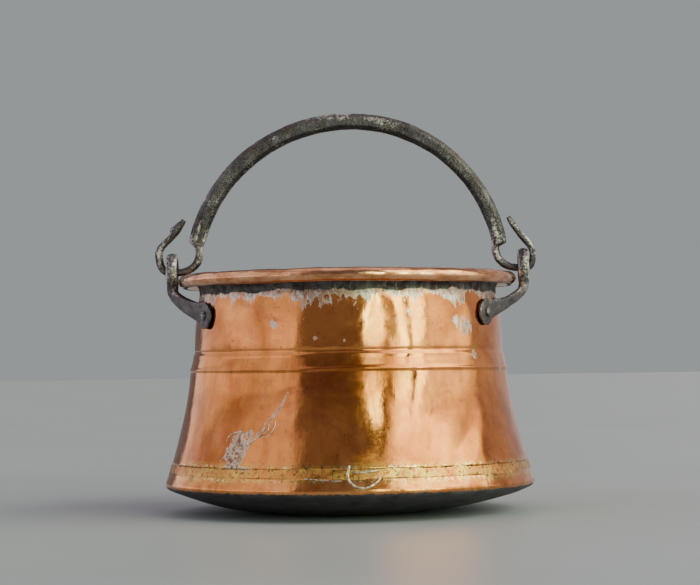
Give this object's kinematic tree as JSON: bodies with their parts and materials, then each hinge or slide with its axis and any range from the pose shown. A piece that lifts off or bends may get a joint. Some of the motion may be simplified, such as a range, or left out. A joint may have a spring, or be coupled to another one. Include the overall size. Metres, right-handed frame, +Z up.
{
  "type": "cooking cauldron",
  "caption": "Hammered copper cauldron, flared to a domed bottom, with a wired rim and an arched iron bail that swings in riveted iron ears.",
  "frame": {"origin": "centre of the flat spot on the bottom that the pot stands on", "axes": "+Z up along the pot's axis, +X from the axis to the right ear, -Y to the front; the bail swings about an axis along X"},
  "size_m": [0.3115, 0.3, 0.3245],
  "materials": {
    "copper": "hammered and worn copper, brown and orange patina, tin stains at the neck",
    "brazing": "rough brazed brass seam",
    "sooted_copper": "copper under soot, matt and black",
    "forged_iron": "forged wrought iron, dark grey, pitted and worn bright on edges",
    "rivet_iron": "hammered rivet heads",
    "wire_iron": "drawn iron wire"
  },
  "bodies": {
    "pot": {"pot_wall": "copper", "rim_wire": "wire_iron", "brass_seam": "brazing", "bottom_pan": "sooted_copper", "ear_left": "forged_iron", "ear_right": "forged_iron", "rivet_left_front": "rivet_iron", "rivet_left_back": "rivet_iron", "rivet_right_front": "rivet_iron", "rivet_right_back": "rivet_iron"},
    "bail": {"bail_handle": "forged_iron"}
  },
  "joints": [
    {"name": "bail_swing", "type": "hinge", "parent": "pot", "child": "bail", "pos_m": [0, 0, 0.19555], "axis": [1, 0, 0], "range_deg": [-80, 80]}
  ]
}
